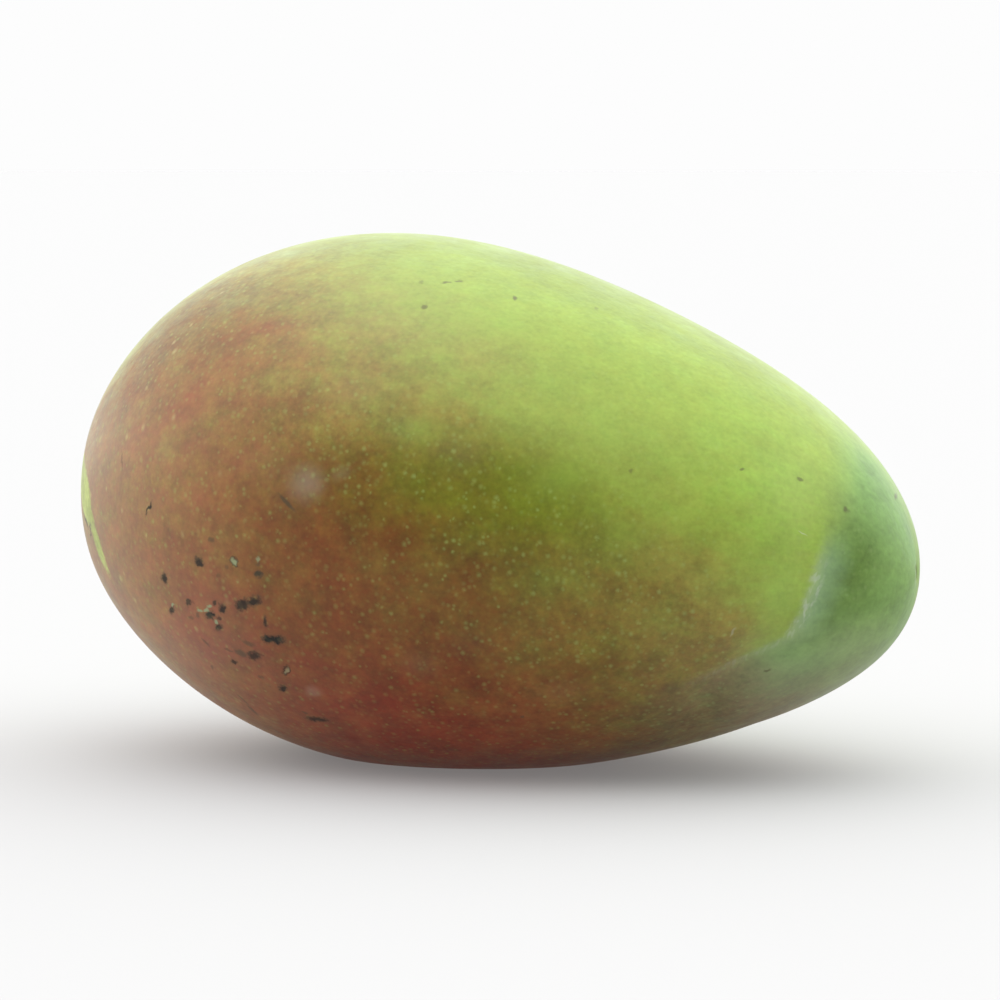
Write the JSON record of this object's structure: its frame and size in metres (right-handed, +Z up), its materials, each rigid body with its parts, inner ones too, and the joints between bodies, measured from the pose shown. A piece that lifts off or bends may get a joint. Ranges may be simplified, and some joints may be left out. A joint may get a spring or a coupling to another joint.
{
  "type": "farchi mango",
  "caption": "Whole mango, egg-shaped with a blunt beak by the apex, blushed red over green, lying on a small flat spot.",
  "frame": {"origin": "on the surface the fruit lies on, below the middle of the fruit's box", "axes": "+X from the stem end to the apex, -Y the belly edge with the sinus and beak, +Z up out of the upper cheek"},
  "size_m": [0.1292, 0.087, 0.0778],
  "materials": {
    "mango_skin": "satin waxy fruit skin, green with a red-brown blush"
  },
  "bodies": {
    "root": {"mango": "mango_skin"}
  },
  "joints": []
}
